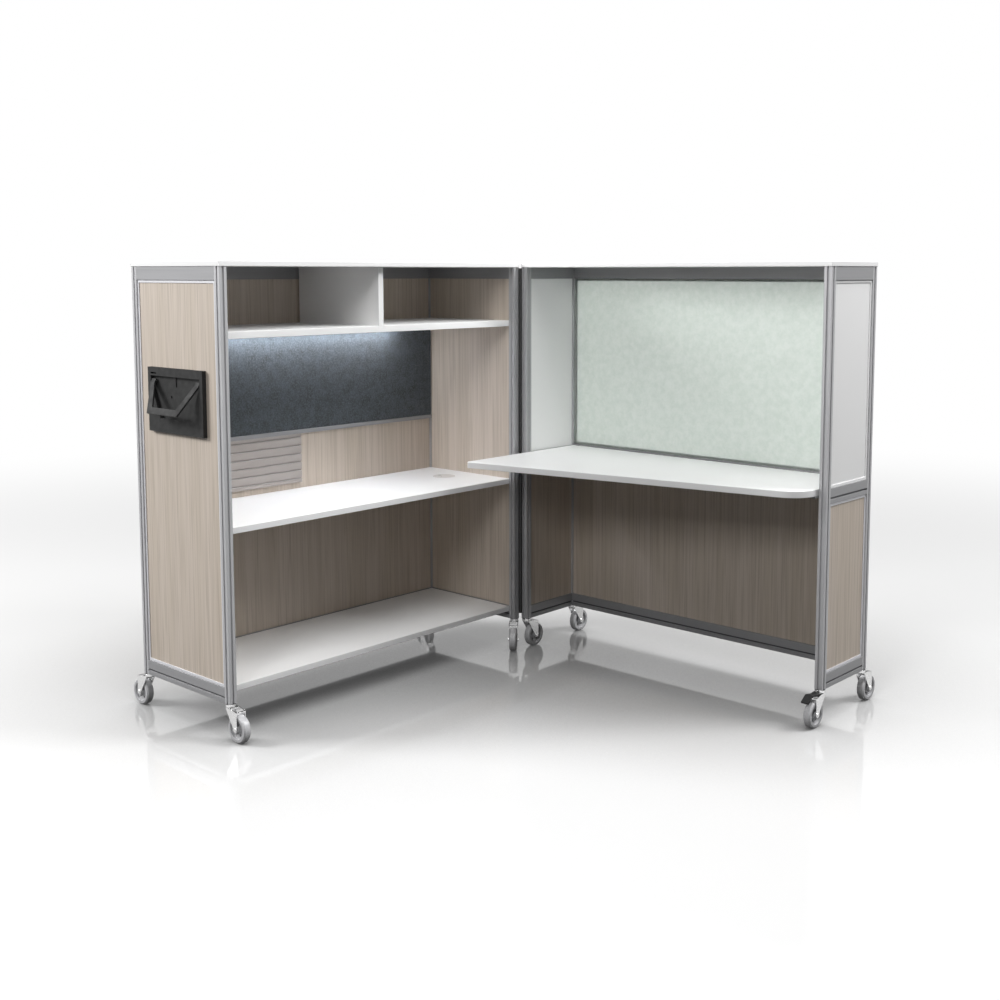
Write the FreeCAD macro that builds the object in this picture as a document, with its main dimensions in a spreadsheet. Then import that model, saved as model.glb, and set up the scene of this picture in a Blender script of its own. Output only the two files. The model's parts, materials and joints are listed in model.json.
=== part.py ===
import FreeCAD, Part
import Sketcher
import math
import os
from FreeCAD import Placement, Rotation, Vector

# Driving sizes, in millimetres. A name ending in angle is in degrees, and one ending in count is a number.
sizes = {
    # frame of the two cabinets
    "left_width": 1500,
    "right_shorter": 45,
    "frame_height": 1520,
    "left_depth": 545,
    "right_depth": 340,
    "post": 30,
    "slot_width": 8,
    "slot_depth": 5,
    "top_rail": 48,
    "low_rail": 56,
    "rail_groove": 20,
    "mid_rail_top": 733,
    "hinge_gap": 7.7,
    # panels and lids
    "panel_thick": 16,
    "panel_inset": 7,
    "bead_width": 10,
    "bead_thick": 3,
    "lid_thick": 18,
    "lid_overhang": 2.5,
    "glass_thick": 8,
    "glass_rail": 5,
    # left cabinet's boards
    "board_setback": 1,
    "bay_high": 224,
    "shelf_thick": 25,
    "divider_thick": 25,
    "divider_housing": 6,
    "desk_top": 615,
    "desk_thick": 22,
    "bottom_shelf_top": 54,
    "tack_bottom": 858,
    "tack_thick": 13,
    "tack_rail_high": 16,
    "tack_rail_thick": 16,
    "slat_bottom": 641,
    "slat_high": 201,
    "slat_wide": 701,
    "slat_thick": 14,
    "slat_pitch": 34,
    "slat_groove": 6,
    "slat_groove_depth": 6,
    "slat_first_groove": 14,
    "slat_groove_count": 6,
    # right cabinet's worktop
    "wing_thick": 25,
    "wing_reach_hinge": 375,
    "wing_reach_outer": 112,
    "wing_side_gap": 2,
    "wing_big_radius": 105,
    "wing_small_radius": 14,
    # brackets under that worktop
    "arm_wide": 34,
    "arm_thick": 8,
    "arm_short_of_front": 90,
    # cable grommet
    "grommet_from_hinge_end": 166,
    "grommet_from_front": 290,
    "grommet_flange_radius": 48,
    "grommet_sleeve_radius": 42,
    "grommet_flange_high": 3,
    "grommet_proud": 1,
    "grommet_wall": 4,
    "grommet_ledge": 3,
    "grommet_cap_thick": 5,
    "grommet_notch": 22,
    # light under the overhead shelf
    "light_length": 960,
    "light_from_back": 24,
    "light_deep": 46,
    "light_high": 20,
    "light_wall": 4,
    "light_lens_drop": 3,
    # pull handle on the outer end
    "plate_wide": 340,
    "plate_high": 232,
    "plate_bottom": 929,
    "plate_thick": 16,
    "pocket_depth": 12,
    "pocket_side_wall": 18,
    "pocket_bottom_wall": 50,
    "pocket_top_wall": 30,
    "plate_catch_long": 36,
    "plate_catch_wide": 6,
    "plate_recess_wide": 20,
    "plate_recess_high": 37,
    "plate_recess_depth": 3,
    "plate_key_radius": 5,
    "bail_pivot_below_top": 47,
    "bail_arm": 116,
    "bail_band": 24,
    "bail_thick": 7,
    "bail_eye_lift": 5,
    "bail_pivot_off_floor": 6.6,
    "bail_side_gap": 3,
    "bail_bar_half": 92,
    "bail_pin_radius": 3,
    "bail_pin_grip": 10,
    "bail_tilt_angle": 28,
    # hinge between the cabinets
    "hinge_low_end": 25,
    "hinge_top_end": 6,
    "hinge_leaf_wide": 29,
    "hinge_leaf_thick": 2.4,
    "hinge_barrel_radius": 6.4,
    "hinge_pin_radius": 3,
    "hinge_knuckle_gap": 0.5,
    "hinge_leaf_relief": 0.6,
    "hinge_pin_head": 3,
    "hinge_pair_count": 12,
    # casters
    "caster_height": 130,
    "wheel_radius": 50,
    "wheel_width": 30,
    "wheel_trail": 48,
    "wheel_shoulder": 5,
    "wheel_rim": 15,
    "wheel_web": 12,
    "wheel_hub_radius": 14,
    "wheel_hole_radius": 5,
    "wheel_hole_count": 6,
    "axle_radius": 4,
    "axle_head": 3,
    "axle_head_radius": 7,
    "crown_radius": 19,
    "crown_high": 10,
    "bridge_thick": 11,
    "leg_thick": 2.5,
    "leg_gap": 2,
    "leg_end_radius": 10,
    "leg_back": 4,
    "leg_front": 21,
    "leg_shoulder": 4,
    "leg_drop": 7.7,
    "lip_thick": 4,
    "stem_radius": 5.5,
    "stem_length": 45,
    "swivel_gap": 0.3,
    # brake pedal
    "pedal_pin_radius": 2.5,
    "pedal_pin_out": 26,
    "pedal_pin_down": 16,
    "pedal_eye": 4,
    "pedal_half": 14.5,
    "pedal_thick": 6,
    "pedal_neck": 40,
    "pedal_neck_down": 14,
    "pedal_bend": 80,
    "pedal_bend_down": 2,
    "pedal_tip": 112,
    "pedal_tip_down": 22,
    # fits
    "running_gap": 0.05,
    "cut_overrun": 5,
}


class Size:
    """A size: its number now, and the formula that keeps it true when the sheet changes."""

    def __init__(self, formula, number):
        self.formula = formula
        self.number = number

    def __add__(self, other):
        return Size(f"({self.formula} + {formula_of(other)})", self.number + number_of(other))

    def __radd__(self, other):
        return self + other

    def __sub__(self, other):
        return Size(f"({self.formula} - {formula_of(other)})", self.number - number_of(other))

    def __rsub__(self, other):
        return Size(f"({formula_of(other)} - {self.formula})", number_of(other) - self.number)

    def __mul__(self, other):
        return Size(f"({self.formula} * {formula_of(other)})", self.number * number_of(other))

    def __rmul__(self, other):
        return self * other

    def __truediv__(self, other):
        return Size(f"({self.formula} / {formula_of(other)})", self.number / number_of(other))

    def __neg__(self):
        return Size(f"(0 - {self.formula})", -self.number)


def formula_of(item):
    return item.formula if isinstance(item, Size) else str(item)


def number_of(item):
    return item.number if isinstance(item, Size) else item


def sine(angle):
    return Size(f"sin({angle.formula} * 1 deg)", math.sin(math.radians(angle.number)))


def cosine(angle):
    return Size(f"cos({angle.formula} * 1 deg)", math.cos(math.radians(angle.number)))


doc = FreeCAD.newDocument("workstation")
sheet = doc.addObject("Spreadsheet::Sheet", "Sizes")
for row, (alias, amount) in enumerate(sizes.items(), start=1):
    sheet.set(f"A{row}", alias)
    sheet.set(f"B{row}", str(amount))
    sheet.setAlias(f"B{row}", alias)
doc.recompute()


class Sheet:
    """Gives every size of the sheet by its own name."""

    def __getattr__(self, alias):
        return Size(f"Sizes.{alias}", sizes[alias])


d = Sheet()


# Helpers that bind an object's sizes to the sheet

def bind(item, path, amount):
    item.setExpression(path, formula_of(amount))


def place(item, corner, turn=0, axis=Vector(0, 0, 1)):
    """Turns an object by some degrees about an axis and sets it down at a corner."""
    item.Placement = Placement(Vector(), Rotation(axis, number_of(turn)))
    if isinstance(turn, Size):
        bind(item, "Placement.Rotation.Angle", turn)
    for letter, amount in zip("xyz", corner):
        bind(item, f"Placement.Base.{letter}", amount)


def block(name, corner, extent, body=None, cut=False):
    """A box: on its own, or added to a body or cut from it."""
    if body is None:
        item = doc.addObject("Part::Box", name)
    else:
        kind = "PartDesign::SubtractiveBox" if cut else "PartDesign::AdditiveBox"
        item = body.newObject(kind, name)
    for path, amount in zip(("Length", "Width", "Height"), extent):
        bind(item, path, amount)
    place(item, corner)
    return item


AXIS_TURNS = {
    "x": (90, Vector(0, 1, 0)),
    "y": (-90, Vector(1, 0, 0)),
    "z": (0, Vector(0, 0, 1)),
}


def rod(name, start, radius, length, along, body=None, cut=False):
    """A cylinder from a start point along one axis: on its own, or added to a body or cut from it."""
    if body is None:
        item = doc.addObject("Part::Cylinder", name)
    else:
        kind = "PartDesign::SubtractiveCylinder" if cut else "PartDesign::AdditiveCylinder"
        item = body.newObject(kind, name)
    bind(item, "Radius", radius)
    bind(item, "Height", length)
    turn, axis = AXIS_TURNS[along]
    place(item, start, turn, axis)
    return item


def new_body(name):
    return doc.addObject("PartDesign::Body", name)


def origin_part(body, role):
    return next(item for item in body.Origin.OriginFeatures if item.Role == role)


def hold(drawing, point, kind, axis, amount):
    """Holds a sketch point at its distance from an axis, or on the axis where the distance is zero."""
    if not isinstance(amount, Size):
        drawing.addConstraint(Sketcher.Constraint("PointOnObject", point, 1, axis))
        return
    index = drawing.addConstraint(Sketcher.Constraint(kind, -1, 1, point, 1, amount.number))
    drawing.setExpression(f"Constraints[{index}]", amount.formula)


def sketch(body, name, plane, points, start=0):
    """A closed outline of straight lines on one of the body's planes, moved along the plane's normal."""
    drawing = body.newObject("Sketcher::SketchObject", name)
    drawing.AttachmentSupport = (origin_part(body, f"{plane}_Plane"), "")
    drawing.MapMode = "FlatFace"
    bind(drawing, "AttachmentOffset.Base.z", 0 - start if plane == "XZ" else start)
    corners = [Vector(number_of(across), number_of(up), 0) for across, up in points]
    last = len(corners) - 1
    for index, corner in enumerate(corners):
        following = 0 if index == last else index + 1
        drawing.addGeometry(Part.LineSegment(corner, corners[following]), False)
    for index in range(len(corners)):
        following = 0 if index == last else index + 1
        drawing.addConstraint(Sketcher.Constraint("Coincident", index, 2, following, 1))
    for index, (across, up) in enumerate(points):
        hold(drawing, index, "DistanceX", -2, across)
        hold(drawing, index, "DistanceY", -1, up)
    return drawing


def pad(body, name, plane, points, length, start=0):
    """Extrudes an outline from its start towards the plane's positive axis."""
    feature = body.newObject("PartDesign::Pad", name)
    feature.Profile = sketch(body, f"{name}_outline", plane, points, start)
    bind(feature, "Length", length)
    feature.Reversed = plane == "XZ"
    return feature


def pocket(body, name, plane, points, length, start=0):
    """Cuts an outline from its start towards the plane's positive axis."""
    feature = body.newObject("PartDesign::Pocket", name)
    feature.Profile = sketch(body, f"{name}_outline", plane, points, start)
    bind(feature, "Length", length)
    feature.Reversed = plane != "XZ"
    return feature


def stands_at(edge, corner):
    """Whether an edge is the upright one at a corner of the plan."""
    x, y = number_of(corner[0]), number_of(corner[1])
    offsets = [Vector(vertex.X - x, vertex.Y - y, 0) for vertex in edge.Vertexes]
    return all(offset.Length < number_of(d.running_gap) for offset in offsets)


def round_upright_edge(body, name, feature, corner, radius):
    """Rounds the upright edge that stands at a corner of the plan."""
    doc.recompute()
    edges = enumerate(feature.Shape.Edges, start=1)
    fillet = body.newObject("PartDesign::Fillet", name)
    fillet.Base = (feature, [f"Edge{index}" for index, edge in edges if stands_at(edge, corner)])
    bind(fillet, "Radius", radius)
    return fillet


# Where the two cabinets stand

wheel_reach = d.wheel_trail + d.wheel_radius
leg_inner = d.wheel_width / 2 + d.leg_gap
leg_outer = leg_inner + d.leg_thick
right_width = d.left_width - d.right_shorter
plate_proud = d.plate_thick - d.panel_inset
bail_pivot_out = plate_proud - d.pocket_depth + d.bail_pivot_off_floor
bail_edge = d.bail_arm + d.bail_band / 2
bail_lean = bail_edge * sine(d.bail_tilt_angle) + d.bail_thick / 2 * cosine(d.bail_tilt_angle)
bail_reach = bail_pivot_out + bail_lean

row_left = -(d.left_depth - d.post / 2 + wheel_reach)
row_right = d.hinge_gap + right_width - d.post / 2 + leg_outer + d.axle_head
row_front = -(d.hinge_gap + d.left_width + bail_reach)
row_back = d.right_depth - d.post / 2 + wheel_reach
middle_x = (row_left + row_right) / 2
middle_y = (row_front + row_back) / 2


class Cabinet:
    """One of the two hinged cabinets. Seen from its front, x runs right, y runs back and z runs up."""

    def __init__(self, name, width, depth, corner, turn, outer, hinge):
        self.name = name
        self.width = width
        self.depth = depth
        self.corner = corner
        self.turn = turn
        self.outer = outer
        self.hinge = hinge


left = Cabinet(
    "left",
    d.left_width,
    d.left_depth,
    (0 - middle_x, 0 - d.hinge_gap - d.left_width - middle_y, d.caster_height),
    90,
    0,
    d.left_width,
)
right = Cabinet(
    "right",
    right_width,
    d.right_depth,
    (d.hinge_gap - middle_x, 0 - middle_y, d.caster_height),
    0,
    right_width,
    0,
)

nodes = []


def piece(name, cabinet, *solids):
    """One node of the part: its separate solids, set down where their cabinet stands."""
    item = doc.addObject("Part::Compound", name)
    item.Label = name
    item.Links = list(solids)
    place(item, cabinet.corner, cabinet.turn)
    nodes.append(item)
    return item


# Frame: posts and rails

def post_outline():
    """A square with a slot in the middle of each side, drawn about its own centre."""
    edge = d.post / 2
    side = d.slot_width / 2
    floor = edge - d.slot_depth
    points = [(-edge, -edge), (-side, -edge), (-side, -floor), (side, -floor), (side, -edge)]
    outline = []
    for quarter in range(4):
        outline += points
        points = [(-y, x) for x, y in points]
    return outline


def frame_post(name, x, y):
    body = new_body(name)
    pad(body, f"{name}_bar", "XY", post_outline(), d.frame_height)
    overrun = d.cut_overrun
    bore = d.stem_radius + d.running_gap
    rod(f"{name}_bore", (0, 0, -overrun), bore, d.frame_height + overrun * 2, "z", body, cut=True)
    place(body, (x, y, 0))
    return body


def plain_section(near_side, low, height):
    """A top rail's section, with no slots."""
    far_side = near_side + d.post
    high = low + height
    return [(near_side, low), (far_side, low), (far_side, high), (near_side, high)]


def slotted_section(near_side, low, height):
    """A lower rail's section, with a slot in each upright face."""
    far_side = near_side + d.post
    high = low + height
    slot_low = low + d.rail_groove - d.slot_width / 2
    slot_high = slot_low + d.slot_width
    near_floor = near_side + d.slot_depth
    far_floor = far_side - d.slot_depth
    return [
        (near_side, low),
        (far_side, low),
        (far_side, slot_low),
        (far_floor, slot_low),
        (far_floor, slot_high),
        (far_side, slot_high),
        (far_side, high),
        (near_side, high),
        (near_side, slot_high),
        (near_floor, slot_high),
        (near_floor, slot_low),
        (near_side, slot_low),
    ]


def end_rail(name, cabinet, near_side, section, low, height):
    body = new_body(name)
    outline = section(near_side, low, height)
    pad(body, f"{name}_bar", "XZ", outline, cabinet.depth - d.post * 2, d.post)
    return body


def rear_rail(name, cabinet, section, low, height):
    body = new_body(name)
    outline = section(cabinet.depth - d.post, low, height)
    pad(body, f"{name}_bar", "YZ", outline, cabinet.width - d.post * 2, d.post)
    return body


top_rail_low = d.frame_height - d.top_rail
mid_rail_low = d.mid_rail_top - d.low_rail

bottom_rail_level = (slotted_section, 0, d.low_rail)
mid_rail_level = (slotted_section, mid_rail_low, d.low_rail)
top_rail_level = (plain_section, top_rail_low, d.top_rail)
rail_levels = {
    "left": {"bottom": bottom_rail_level, "top": top_rail_level},
    "right": {"bottom": bottom_rail_level, "mid": mid_rail_level, "top": top_rail_level},
}


def frame(cabinet):
    centre = d.post / 2
    far_x = cabinet.width - centre
    far_y = cabinet.depth - centre
    name = cabinet.name
    for row, y in (("front", centre), ("rear", far_y)):
        pair = [frame_post(f"{name}_{row}_post_{side}", x, y) for side, x in (("a", centre), ("b", far_x))]
        piece(f"{name}_{row}_posts", cabinet, *pair)
    ends = []
    for level, bar in rail_levels[name].items():
        for side, near_side in (("a", 0), ("b", cabinet.width - d.post)):
            ends.append(end_rail(f"{name}_{level}_end_rail_{side}", cabinet, near_side, *bar))
    piece(f"{name}_end_rails", cabinet, *ends)
    rears = [
        rear_rail(f"{name}_bottom_rear_rail", cabinet, *bottom_rail_level),
        rear_rail(f"{name}_top_rear_rail", cabinet, *top_rail_level),
    ]
    piece(f"{name}_rear_rails", cabinet, *rears)


# Panels and the pale beads that frame them

def end_panel(name, cabinet, x, low, high):
    inset = d.panel_inset
    near_side = inset if x == 0 else cabinet.width - inset - d.panel_thick
    corner = (near_side, d.post, low)
    solid = block(f"{name}_board", corner, (d.panel_thick, cabinet.depth - d.post * 2, high - low))
    piece(name, cabinet, solid)


def back_panel(name, cabinet, low, high):
    corner = (d.post, cabinet.depth - d.panel_inset - d.panel_thick, low)
    solid = block(f"{name}_board", corner, (cabinet.width - d.post * 2, d.panel_thick, high - low))
    piece(name, cabinet, solid)


def bead_frame(name, corner, extent, thin):
    """A flat frame of bead round a panel's face. Thin is the axis across it: 0 for x and 1 for y."""
    outer = block(f"{name}_outer", corner, extent)
    inner_corner = [at + d.bead_width for at in corner]
    inner_extent = [size - d.bead_width * 2 for size in extent]
    inner_corner[thin] = corner[thin] - d.cut_overrun
    inner_extent[thin] = extent[thin] + d.cut_overrun * 2
    inner = block(f"{name}_inner", inner_corner, inner_extent)
    ring = doc.addObject("Part::Cut", name)
    ring.Base = outer
    ring.Tool = inner
    return ring


def end_bead(name, cabinet, x, low, high):
    thick = d.bead_thick
    near_side = d.panel_inset - thick if x == 0 else cabinet.width - d.panel_inset
    corner = (near_side, d.post, low)
    return bead_frame(name, corner, (thick, cabinet.depth - d.post * 2, high - low), 0)


def back_bead(name, cabinet, y, low, high):
    corner = (d.post, y, low)
    return bead_frame(name, corner, (cabinet.width - d.post * 2, d.bead_thick, high - low), 1)


glass_low = d.mid_rail_top + d.glass_rail


def left_panels():
    low, high = d.low_rail, top_rail_low
    end_panel("left_outer_panel", left, left.outer, low, high)
    end_panel("left_hinge_panel", left, left.hinge, low, high)
    back_panel("left_back_panel", left, low, high)
    beads = [
        end_bead("left_outer_bead", left, left.outer, low, high),
        end_bead("left_hinge_bead", left, left.hinge, low, high),
        back_bead("left_back_bead", left, left.depth - d.panel_inset, low, high),
    ]
    piece("left_panel_beads", left, *beads)


def right_panels():
    levels = {"upper": (d.mid_rail_top, top_rail_low), "lower": (d.low_rail, mid_rail_low)}
    beads = []
    for level, (low, high) in levels.items():
        for side, x in (("outer", right.outer), ("hinge", right.hinge)):
            end_panel(f"right_{side}_{level}_panel", right, x, low, high)
            beads.append(end_bead(f"right_{side}_{level}_bead", right, x, low, high))
    back_panel("right_back_panel", right, d.low_rail, d.mid_rail_top)
    back_face = right.depth - d.panel_inset
    beads.append(back_bead("right_back_bead", right, back_face, d.low_rail, d.mid_rail_top))
    glass_back = right.depth - d.post / 2 + d.glass_thick / 2
    glass_front = glass_back - d.glass_thick
    beads.append(back_bead("glass_rear_bead", right, glass_back, glass_low, top_rail_low))
    piece("right_panel_beads", right, *beads)

    inner_width = right.width - d.post * 2
    sheet_size = (inner_width, d.glass_thick, top_rail_low - glass_low)
    piece("frosted_glass", right, block("glass_sheet", (d.post, glass_front, glass_low), sheet_size))
    rail_corner = (d.post, right.depth - d.post, d.mid_rail_top)
    piece("glass_rail", right, block("glass_rail_bar", rail_corner, (inner_width, d.post, d.glass_rail)))


def lid(cabinet):
    """The white top board. It stands a little proud at the outer end, the front and the back."""
    over = d.lid_overhang
    start = -over if cabinet is left else 0
    corner = (start, -over, d.frame_height)
    extent = (cabinet.width + over, cabinet.depth + over * 2, d.lid_thick)
    piece(f"{cabinet.name}_lid", cabinet, block(f"{cabinet.name}_lid_board", corner, extent))


# Boards inside the left cabinet

panel_face = d.panel_inset + d.panel_thick
board_front = d.post + d.board_setback
left_back_face = d.left_depth - panel_face
shelf_top = d.frame_height - d.bay_high
shelf_under = shelf_top - d.shelf_thick


def board(name, top, thick):
    """A full-width board between the end panels, notched round the two rear posts."""
    far_side = d.left_width - panel_face
    notch_y = d.left_depth - d.post
    outline = [
        (panel_face, board_front),
        (far_side, board_front),
        (far_side, notch_y),
        (d.left_width - d.post, notch_y),
        (d.left_width - d.post, left_back_face),
        (d.post, left_back_face),
        (d.post, notch_y),
        (panel_face, notch_y),
    ]
    body = new_body(name)
    pad(body, f"{name}_slab", "XY", outline, thick, top - thick)
    return body


grommet_x = d.left_width - d.grommet_from_hinge_end
grommet_y = d.grommet_from_front
flange_sunk = d.grommet_flange_high - d.grommet_proud


def left_boards():
    divider_x = (d.left_width - d.divider_thick) / 2
    housing_floor = shelf_top - d.divider_housing
    shelf = board("overhead_shelf_board", shelf_top, d.shelf_thick)
    groove_size = (d.divider_thick, d.left_depth, d.divider_housing + d.cut_overrun)
    block("divider_groove", (divider_x, 0, housing_floor), groove_size, shelf, cut=True)
    piece("overhead_shelf", left, shelf)
    divider_corner = (divider_x, board_front, housing_floor)
    divider_size = (d.divider_thick, d.left_depth - d.post - board_front, d.bay_high + d.divider_housing)
    piece("shelf_divider", left, block("divider_board", divider_corner, divider_size))

    low_corner = (d.post, board_front, d.bottom_shelf_top - d.desk_thick)
    low_size = (d.left_width - d.post * 2, d.left_depth - d.post - board_front, d.desk_thick)
    piece("bottom_shelf", left, block("bottom_shelf_board", low_corner, low_size))
    desk = board("left_worktop_board", d.desk_top, d.desk_thick)
    start = (grommet_x, grommet_y, d.desk_top - d.desk_thick - d.cut_overrun)
    through = d.desk_thick + d.cut_overrun * 2
    rod("grommet_hole", start, d.grommet_sleeve_radius, through, "z", desk, cut=True)
    rebate_start = (grommet_x, grommet_y, d.desk_top - flange_sunk)
    rebate_radius = d.grommet_flange_radius + d.running_gap
    rod("grommet_rebate", rebate_start, rebate_radius, flange_sunk + d.cut_overrun, "z", desk, cut=True)
    piece("left_worktop", left, desk)


def left_wall_pieces():
    inner_width = d.left_width - d.post * 2
    corner = (d.post, left_back_face - d.tack_thick, d.tack_bottom)
    extent = (inner_width, d.tack_thick, shelf_under - d.tack_bottom)
    piece("tackboard", left, block("tackboard_sheet", corner, extent))
    corner = (d.post, left_back_face - d.tack_rail_thick, d.tack_bottom - d.tack_rail_high)
    extent = (inner_width, d.tack_rail_thick, d.tack_rail_high)
    piece("tackboard_rail", left, block("tackboard_rail_bar", corner, extent))

    front = left_back_face - d.slat_thick
    high = d.slat_bottom + d.slat_high
    floor = front + d.slat_groove_depth
    outline = [(left_back_face, high), (left_back_face, d.slat_bottom), (front, d.slat_bottom)]
    for index in range(sizes["slat_groove_count"]):
        groove_low = d.slat_bottom + d.slat_first_groove + d.slat_pitch * index
        groove_high = groove_low + d.slat_groove
        outline += [(front, groove_low), (floor, groove_low), (floor, groove_high), (front, groove_high)]
    outline.append((front, high))
    body = new_body("slat_panel_board")
    pad(body, "slat_panel_slab", "YZ", outline, d.slat_wide, d.post)
    piece("slat_panel", left, body)


def grommet():
    """A cable grommet: a flanged ring let into the worktop, and a notched cap that turns on its ledge."""
    under = d.desk_top - d.desk_thick
    top = d.desk_top + d.grommet_proud
    flange_low = d.desk_top - flange_sunk
    ring = new_body("grommet_ring_moulding")
    sleeve_start = (grommet_x, grommet_y, under)
    rod("ring_sleeve", sleeve_start, d.grommet_sleeve_radius, flange_low - under, "z", ring)
    flange_start = (grommet_x, grommet_y, flange_low)
    rod("ring_flange", flange_start, d.grommet_flange_radius, d.grommet_flange_high, "z", ring)
    seat_radius = d.grommet_sleeve_radius - d.grommet_wall
    seat = top - d.grommet_cap_thick
    through = top - under + d.cut_overrun * 2
    bore_start = (grommet_x, grommet_y, under - d.cut_overrun)
    rod("ring_bore", bore_start, seat_radius - d.grommet_ledge, through, "z", ring, cut=True)
    seat_depth = d.grommet_cap_thick + d.cut_overrun
    rod("ring_seat", (grommet_x, grommet_y, seat), seat_radius, seat_depth, "z", ring, cut=True)
    piece("grommet_ring", left, ring)

    cap = new_body("grommet_cap_moulding")
    cap_radius = seat_radius - d.running_gap
    rod("cap_disc", (grommet_x, grommet_y, seat), cap_radius, d.grommet_cap_thick, "z", cap)
    notch = d.grommet_notch
    notch_corner = (grommet_x - notch / 2, grommet_y + cap_radius - notch, seat - d.cut_overrun)
    notch_high = d.grommet_cap_thick + d.cut_overrun * 2
    block("cap_notch", notch_corner, (notch, notch * 2, notch_high), cap, cut=True)
    piece("grommet_cap", left, cap)


def task_light():
    """A light bar under the overhead shelf: a folded housing, open below, that holds a flat lens."""
    y = left_back_face - d.light_from_back - d.light_deep
    x = (d.left_width - d.light_length) / 2
    wall = d.light_wall
    low = shelf_under - d.light_high
    far = y + d.light_deep
    outline = [
        (y, low),
        (y + wall, low),
        (y + wall, shelf_under - wall),
        (far - wall, shelf_under - wall),
        (far - wall, low),
        (far, low),
        (far, shelf_under),
        (y, shelf_under),
    ]
    housing = new_body("light_housing_channel")
    pad(housing, "light_channel", "YZ", outline, d.light_length, x)
    piece("light_housing", left, housing)
    lens_high = d.light_high - wall + d.light_lens_drop
    lens_size = (d.light_length, d.light_deep - wall * 2, lens_high)
    piece("light_lens", left, block("light_lens_bar", (x, y + wall, low - d.light_lens_drop), lens_size))


# Worktop of the right cabinet

wing_x = d.post + d.wing_side_gap
wing_far_x = right_width - wing_x
wing_back = d.right_depth - d.post
wing_under = d.mid_rail_top - d.wing_thick


def right_brackets():
    """Two cantilever brackets: an upright plate on each mid rail, with an arm that reaches under the wing."""
    solids = []
    sides = (
        ("hinge", d.post, 1, d.wing_reach_hinge),
        ("outer", right_width - d.post, -1, d.wing_reach_outer),
    )
    for side, wall, away, reach in sides:
        body = new_body(f"wing_bracket_{side}")
        thick = d.arm_thick
        upright_x = wall if away > 0 else wall - thick
        upright = (upright_x, d.post, mid_rail_low)
        upright_size = (thick, d.right_depth - d.post * 2, wing_under - mid_rail_low)
        block(f"wing_upright_{side}", upright, upright_size, body)
        arm_y = d.arm_short_of_front - reach
        gap = d.wing_side_gap
        arm_x = wall + gap if away > 0 else wall - gap - d.arm_wide
        arm_size = (d.arm_wide, wing_back - arm_y, thick)
        block(f"wing_arm_{side}", (arm_x, arm_y, wing_under - thick), arm_size, body)
        solids.append(body)
    piece("right_worktop_brackets", right, *solids)


def right_worktop():
    """A wing that fills the cabinet and reaches out in front of it, further at the hinge end."""
    hinge_corner = (wing_x, -d.wing_reach_hinge)
    outer_corner = (wing_far_x, -d.wing_reach_outer)
    outline = [hinge_corner, outer_corner, (wing_far_x, wing_back), (wing_x, wing_back)]
    body = new_body("right_worktop_board")
    slab = pad(body, "right_worktop_slab", "XY", outline, d.wing_thick, wing_under)
    rounded = round_upright_edge(body, "right_worktop_outer_round", slab, outer_corner, d.wing_big_radius)
    round_upright_edge(body, "right_worktop_hinge_round", rounded, hinge_corner, d.wing_small_radius)
    piece("right_worktop", right, body)


# Pull handle on the left cabinet's outer end

plate_y = (d.left_depth - d.plate_wide) / 2
plate_top = d.plate_bottom + d.plate_high
plate_front = -plate_proud
bail_y = d.left_depth / 2
bail_z = plate_top - d.bail_pivot_below_top
pocket_half = d.plate_wide / 2 - d.pocket_side_wall
eye_outer = pocket_half - d.bail_side_gap
# The bail's inner corners stand in from the outer ones by this share of the band
bail_mitre_share = 0.75


def handle_plate():
    """A black moulding with a shallow pocket that the bail folds into."""
    body = new_body("handle_plate_moulding")
    corner = (plate_front, plate_y, d.plate_bottom)
    block("plate_slab", corner, (d.plate_thick, d.plate_wide, d.plate_high), body)
    over = d.cut_overrun
    pocket_low = d.plate_bottom + d.pocket_bottom_wall
    pocket_top = plate_top - d.pocket_top_wall
    bend = bail_z - d.bail_band / 2
    low_half = d.bail_bar_half + d.bail_side_gap
    outline = [
        (bail_y + pocket_half, pocket_top),
        (bail_y - pocket_half, pocket_top),
        (bail_y - pocket_half, bend),
        (bail_y - low_half, pocket_low),
        (bail_y + low_half, pocket_low),
        (bail_y + pocket_half, bend),
    ]
    pocket(body, "plate_pocket", "YZ", outline, d.pocket_depth + over, plate_front - over)
    long, wide = d.plate_catch_long, d.plate_catch_wide
    catch = (plate_front - over, bail_y + pocket_half - long, pocket_top + wide)
    block("plate_catch_slot", catch, (d.pocket_depth + over, long, wide), body, cut=True)
    floor = plate_front + d.pocket_depth
    deep = d.plate_recess_depth + over
    wide, high = d.plate_recess_wide, d.plate_recess_high
    recess_corner = (floor - over, bail_y - wide / 2, pocket_top - high)
    block("plate_recess", recess_corner, (deep, wide, high), body, cut=True)
    key = (floor - over, bail_y + high, pocket_top - high * 2)
    rod("plate_key_hole", key, d.plate_key_radius, deep, "x", body, cut=True)
    grip = d.bail_pin_grip
    for side, y in (("front", bail_y - pocket_half - grip), ("rear", bail_y + pocket_half - over)):
        start = (-bail_pivot_out, y, bail_z)
        rod(f"plate_pin_hole_{side}", start, d.bail_pin_radius, grip + over, "y", body, cut=True)
    piece("handle_plate", left, body)


def bail_pins():
    """Two short pins that reach from the plate's side walls through the bail's arms."""
    length = d.bail_pin_grip + d.bail_side_gap + d.bail_band
    outer_end = pocket_half + d.bail_pin_grip
    starts = {"front": bail_y - outer_end, "rear": bail_y + outer_end - length}
    pins = []
    for side, y in starts.items():
        start = (-bail_pivot_out, y, bail_z)
        pins.append(rod(f"bail_pin_{side}", start, d.bail_pin_radius, length, "y"))
    piece("bail_pins", left, *pins)


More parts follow.
